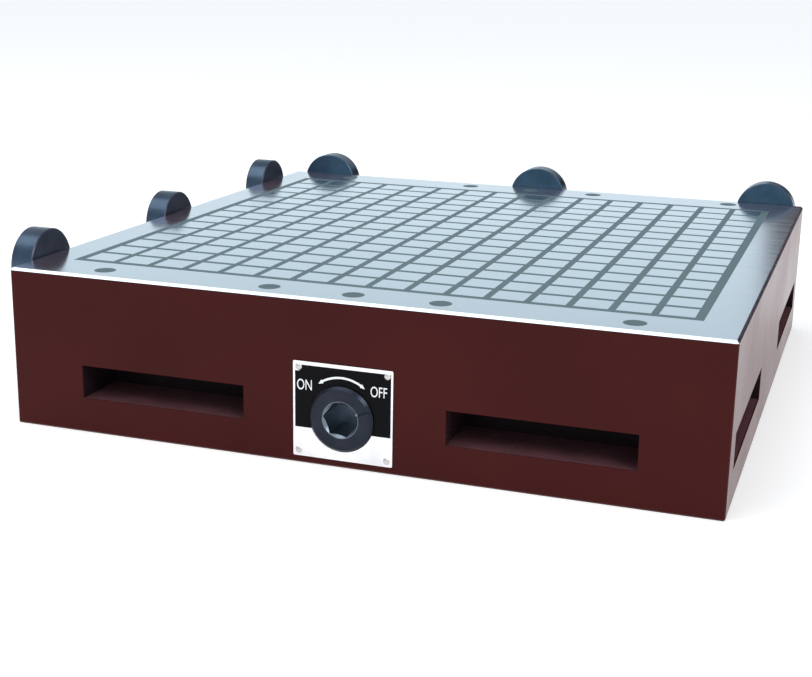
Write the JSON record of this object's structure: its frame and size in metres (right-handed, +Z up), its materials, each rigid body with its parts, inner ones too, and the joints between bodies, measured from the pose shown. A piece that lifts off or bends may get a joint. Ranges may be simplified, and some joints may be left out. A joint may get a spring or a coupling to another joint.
{
  "type": "permanent magnetic chuck",
  "caption": "Square permanent magnetic chuck with a gridded pole face, hex key switch, toe-clamp pockets in its sides and eccentric disc stops on two edges.",
  "frame": {"origin": "centre of the base face, on the table", "axes": "+Z up, out of the working face; +X right and +Y back, seen from the side with the key socket"},
  "size_m": [0.4141, 0.4171, 0.1057],
  "materials": {
    "maroon_paint": "glossy dark maroon enamel on steel",
    "ground_plate": "ground steel face with painted sides",
    "ground_steel": "fine surface ground",
    "pole_resin": "grey filled epoxy, ground flush",
    "plug_resin": "grey filled epoxy, ground flush",
    "black_oxide": "turned steel, blued black",
    "name_plate": "polished sheet with a printed black field",
    "rivet_metal": "plain",
    "bright_steel": "machined",
    "screw_steel": "black oxide",
    "bronze": "machined bronze",
    "magnet": "sintered magnet blocks",
    "tray_alloy": "machined",
    "sheet_brass": "rolled",
    "seal_rubber": "moulded",
    "cover_steel": "thin black coating"
  },
  "bodies": {
    "base": {"housing": "maroon_paint", "top_plate": "ground_plate", "pole_bars": "ground_steel", "pole_filler": "pole_resin", "screw_plugs": "plug_resin", "fixed_magnets": "magnet", "separator_sheet": "sheet_brass", "top_screws": "screw_steel", "dowel_pins": "bright_steel", "housing_seal": "seal_rubber", "wear_strips": "bronze", "guide_strips": "bronze", "front_bush": "bronze", "rear_bush": "bronze", "limit_pin": "bright_steel", "base_cover": "cover_steel", "base_gasket": "seal_rubber", "base_cover_screws": "screw_steel", "nameplate": "name_plate", "nameplate_rivets": "rivet_metal", "stop_screws": "screw_steel"},
    "drive": {"drive_shaft": "black_oxide", "shaft_seal": "seal_rubber", "retaining_ring": "screw_steel"},
    "magnet_pack": {"slide_tray": "tray_alloy", "slide_poles": "bright_steel", "slide_magnets": "magnet", "rack_front": "bright_steel", "rack_rear": "bright_steel", "rack_screws": "screw_steel"},
    "stop_left_front": {"stop_left_front": "black_oxide"},
    "stop_left_middle": {"stop_left_middle": "black_oxide"},
    "stop_left_rear": {"stop_left_rear": "black_oxide"},
    "stop_back_left": {"stop_back_left": "black_oxide"},
    "stop_back_middle": {"stop_back_middle": "black_oxide"},
    "stop_back_right": {"stop_back_right": "black_oxide"}
  },
  "joints": [
    {"name": "key_turn", "type": "hinge", "parent": "base", "child": "drive", "pos_m": [0, -0.2, 0.0275], "axis": [0, -1, 0], "range_deg": [0, 180]},
    {"name": "magnet_slide", "type": "slide", "parent": "base", "child": "magnet_pack", "axis": [-1, 0, 0], "range_m": [0, 0.022]},
    {"name": "stop_left_front_turn", "type": "hinge", "parent": "base", "child": "stop_left_front", "pos_m": [-0.2001, -0.158, 0.076], "axis": [-1, 0, 0], "continuous": true},
    {"name": "stop_left_middle_turn", "type": "hinge", "parent": "base", "child": "stop_left_middle", "pos_m": [-0.2001, -0.0083, 0.076], "axis": [-1, 0, 0], "continuous": true},
    {"name": "stop_left_rear_turn", "type": "hinge", "parent": "base", "child": "stop_left_rear", "pos_m": [-0.2001, 0.152, 0.076], "axis": [-1, 0, 0], "continuous": true},
    {"name": "stop_back_left_turn", "type": "hinge", "parent": "base", "child": "stop_back_left", "pos_m": [-0.172, 0.2001, 0.076], "axis": [0, 1, 0], "continuous": true},
    {"name": "stop_back_middle_turn", "type": "hinge", "parent": "base", "child": "stop_back_middle", "pos_m": [0.001, 0.2001, 0.076], "axis": [0, 1, 0], "continuous": true},
    {"name": "stop_back_right_turn", "type": "hinge", "parent": "base", "child": "stop_back_right", "pos_m": [0.173, 0.2001, 0.076], "axis": [0, 1, 0], "continuous": true}
  ],
  "couplings": [
    {"joint": "key_turn", "follows": "magnet_slide", "rad_per_m": 142.8}
  ]
}
